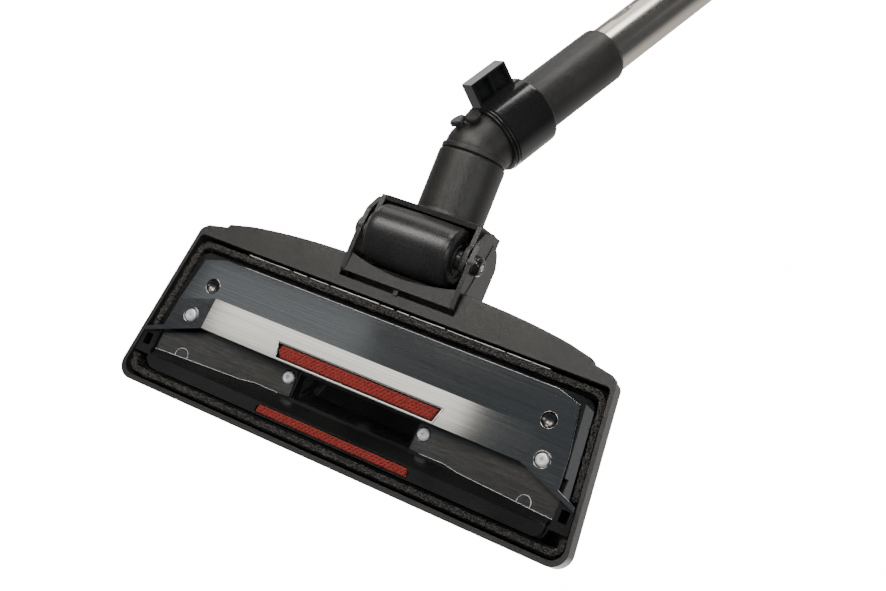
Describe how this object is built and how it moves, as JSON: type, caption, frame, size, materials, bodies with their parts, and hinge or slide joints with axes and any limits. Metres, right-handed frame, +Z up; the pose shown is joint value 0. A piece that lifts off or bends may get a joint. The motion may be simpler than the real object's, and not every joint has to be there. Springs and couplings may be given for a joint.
{
  "type": "canister vacuum floor head",
  "caption": "Dual floor head of a canister vacuum with a retracting brush, steel sole, double-hinged roller knuckle, swivel elbow and the lower end of its wand",
  "frame": {"origin": "centre of the flat field of the steel sole plate, on its underside", "axes": "+Z up from the floor, +Y back towards the neck and wand, +X across the head to the left side seen from behind the head; the sole's flat face is z = 0"},
  "size_m": [0.3076, 0.4832, 0.1661],
  "materials": {
    "housing_plastic": "fine matte grain",
    "gloss_black_plastic": "smooth moulded gloss",
    "roller_plastic": "satin",
    "bristle_fibre": "dense fibre strip",
    "sole_steel": "fine brushed sheet",
    "channel_steel": "dark brushed sheet",
    "zinc_steel": "zinc plated",
    "red_velour": "short pile",
    "black_rubber": "moulded",
    "tube_steel": "polished stainless tube"
  },
  "bodies": {
    "head": {"upper_housing": "housing_plastic", "base_tray": "gloss_black_plastic", "air_duct": "gloss_black_plastic", "sole_plate": "sole_steel", "front_bar": "gloss_black_plastic", "channel_plate_left": "channel_steel", "channel_plate_right": "channel_steel", "thread_lifter_rear": "red_velour", "thread_lifter_front": "red_velour", "sole_screw_left": "zinc_steel", "sole_screw_right": "zinc_steel", "mouth_screw_left": "zinc_steel", "mouth_screw_right": "zinc_steel", "pedal_pin": "zinc_steel", "detent_leaf": "zinc_steel", "leaf_screw": "zinc_steel"},
    "brush": {"brush_frame": "gloss_black_plastic", "bristles_rear": "bristle_fibre", "bristles_front": "bristle_fibre"},
    "foot_pedal": {"pedal": "housing_plastic"},
    "knuckle": {"yoke": "housing_plastic", "hinge_pin_left": "zinc_steel", "hinge_pin_right": "zinc_steel", "axle": "zinc_steel", "axle_screw": "zinc_steel", "axle_cap": "gloss_black_plastic", "flex_hose": "black_rubber"},
    "rear_roller": {"roller": "roller_plastic"},
    "neck_body": {"neck": "housing_plastic", "neck_seal": "black_rubber"},
    "elbow_body": {"elbow": "housing_plastic", "snap_ring": "zinc_steel", "wand_seal": "black_rubber"},
    "wand": {"collar": "gloss_black_plastic", "sleeve": "housing_plastic", "tube": "tube_steel"}
  },
  "joints": [
    {"name": "brush_drop", "type": "slide", "parent": "head", "child": "brush", "axis": [0, 0, -1], "range_m": [0, 0.007]},
    {"name": "pedal_rock", "type": "hinge", "parent": "head", "child": "foot_pedal", "pos_m": [-0.073, -0.016, 0.0335], "axis": [-1, 0, 0], "range_deg": [0, 15.3]},
    {"name": "knuckle_tilt", "type": "hinge", "parent": "head", "child": "knuckle", "pos_m": [0, 0.033, 0.018], "axis": [1, 0, 0], "range_deg": [0, 28], "deforming": ["flex_hose"]},
    {"name": "roller_spin", "type": "hinge", "parent": "knuckle", "child": "rear_roller", "pos_m": [0, 0.0615, 0.0016], "axis": [1, 0, 0], "continuous": true},
    {"name": "neck_tilt", "type": "hinge", "parent": "knuckle", "child": "neck_body", "pos_m": [0, 0.0615, 0.0016], "axis": [1, 0, 0], "range_deg": [0, 45], "deforming": ["flex_hose"]},
    {"name": "elbow_swivel", "type": "hinge", "parent": "neck_body", "child": "elbow_body", "pos_m": [0, 0.134, 0.02305], "axis": [0, 0.9952, -0.0976], "continuous": true},
    {"name": "wand_pull", "type": "slide", "parent": "elbow_body", "child": "wand", "axis": [-0.307, 0.8769, 0.3699], "range_m": [0, 0.045]}
  ],
  "couplings": [
    {"joint": "pedal_rock", "follows": "brush_drop", "rad_per_m": 37.899}
  ]
}
